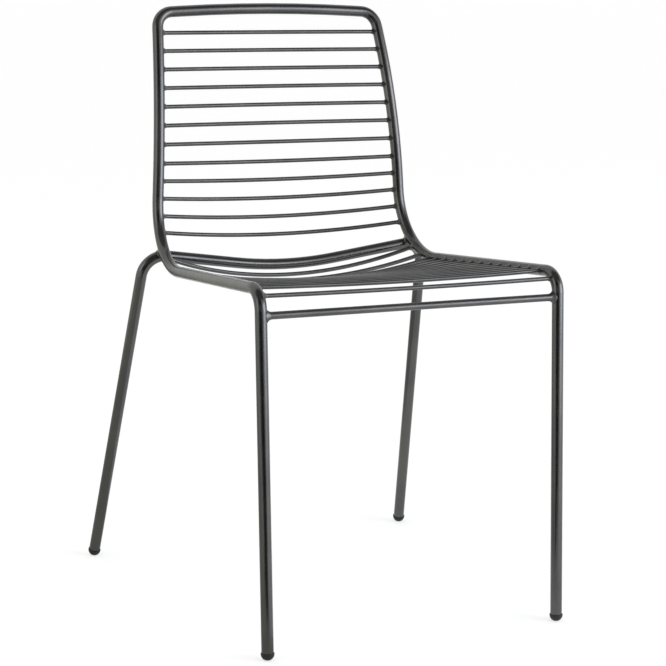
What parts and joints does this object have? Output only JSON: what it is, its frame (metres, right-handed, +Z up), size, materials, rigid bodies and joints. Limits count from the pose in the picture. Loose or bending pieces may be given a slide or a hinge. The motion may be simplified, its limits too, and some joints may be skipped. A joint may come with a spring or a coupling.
{
  "type": "stacking garden chair",
  "caption": "Stacking garden chair of bent round steel tube, without arms, with a dished seat and an upright back of parallel welded wires and domed foot caps.",
  "frame": {"origin": "on the floor, midway between the front and rear feet and midway between the left and right feet", "axes": "+X to the right side when looking along +Y from the front, +Y from the front of the chair to its back, +Z up"},
  "size_m": [0.5288, 0.5628, 0.8164],
  "materials": {
    "frame_paint": "satin anthracite powder coat",
    "foot_plastic": "moulded black plastic"
  },
  "bodies": {
    "root": {"main_frame": "frame_paint", "rear_leg_arch": "frame_paint", "front_wire": "frame_paint", "front_bar": "frame_paint", "seat_wire_01": "frame_paint", "seat_wire_02": "frame_paint", "seat_wire_03": "frame_paint", "seat_wire_04": "frame_paint", "seat_wire_05": "frame_paint", "seat_wire_06": "frame_paint", "seat_wire_07": "frame_paint", "seat_wire_08": "frame_paint", "seat_wire_09": "frame_paint", "seat_wire_10": "frame_paint", "seat_wire_11": "frame_paint", "seat_wire_12": "frame_paint", "seat_wire_13": "frame_paint", "seat_wire_14": "frame_paint", "seat_wire_15": "frame_paint", "back_wire_01": "frame_paint", "back_wire_02": "frame_paint", "back_wire_03": "frame_paint", "back_wire_04": "frame_paint", "back_wire_05": "frame_paint", "back_wire_06": "frame_paint", "back_wire_07": "frame_paint", "back_wire_08": "frame_paint", "back_wire_09": "frame_paint", "back_wire_10": "frame_paint", "back_wire_11": "frame_paint", "back_wire_12": "frame_paint", "foot_cap_front_left": "foot_plastic", "foot_cap_front_right": "foot_plastic", "foot_cap_rear_left": "foot_plastic", "foot_cap_rear_right": "foot_plastic"}
  },
  "joints": []
}
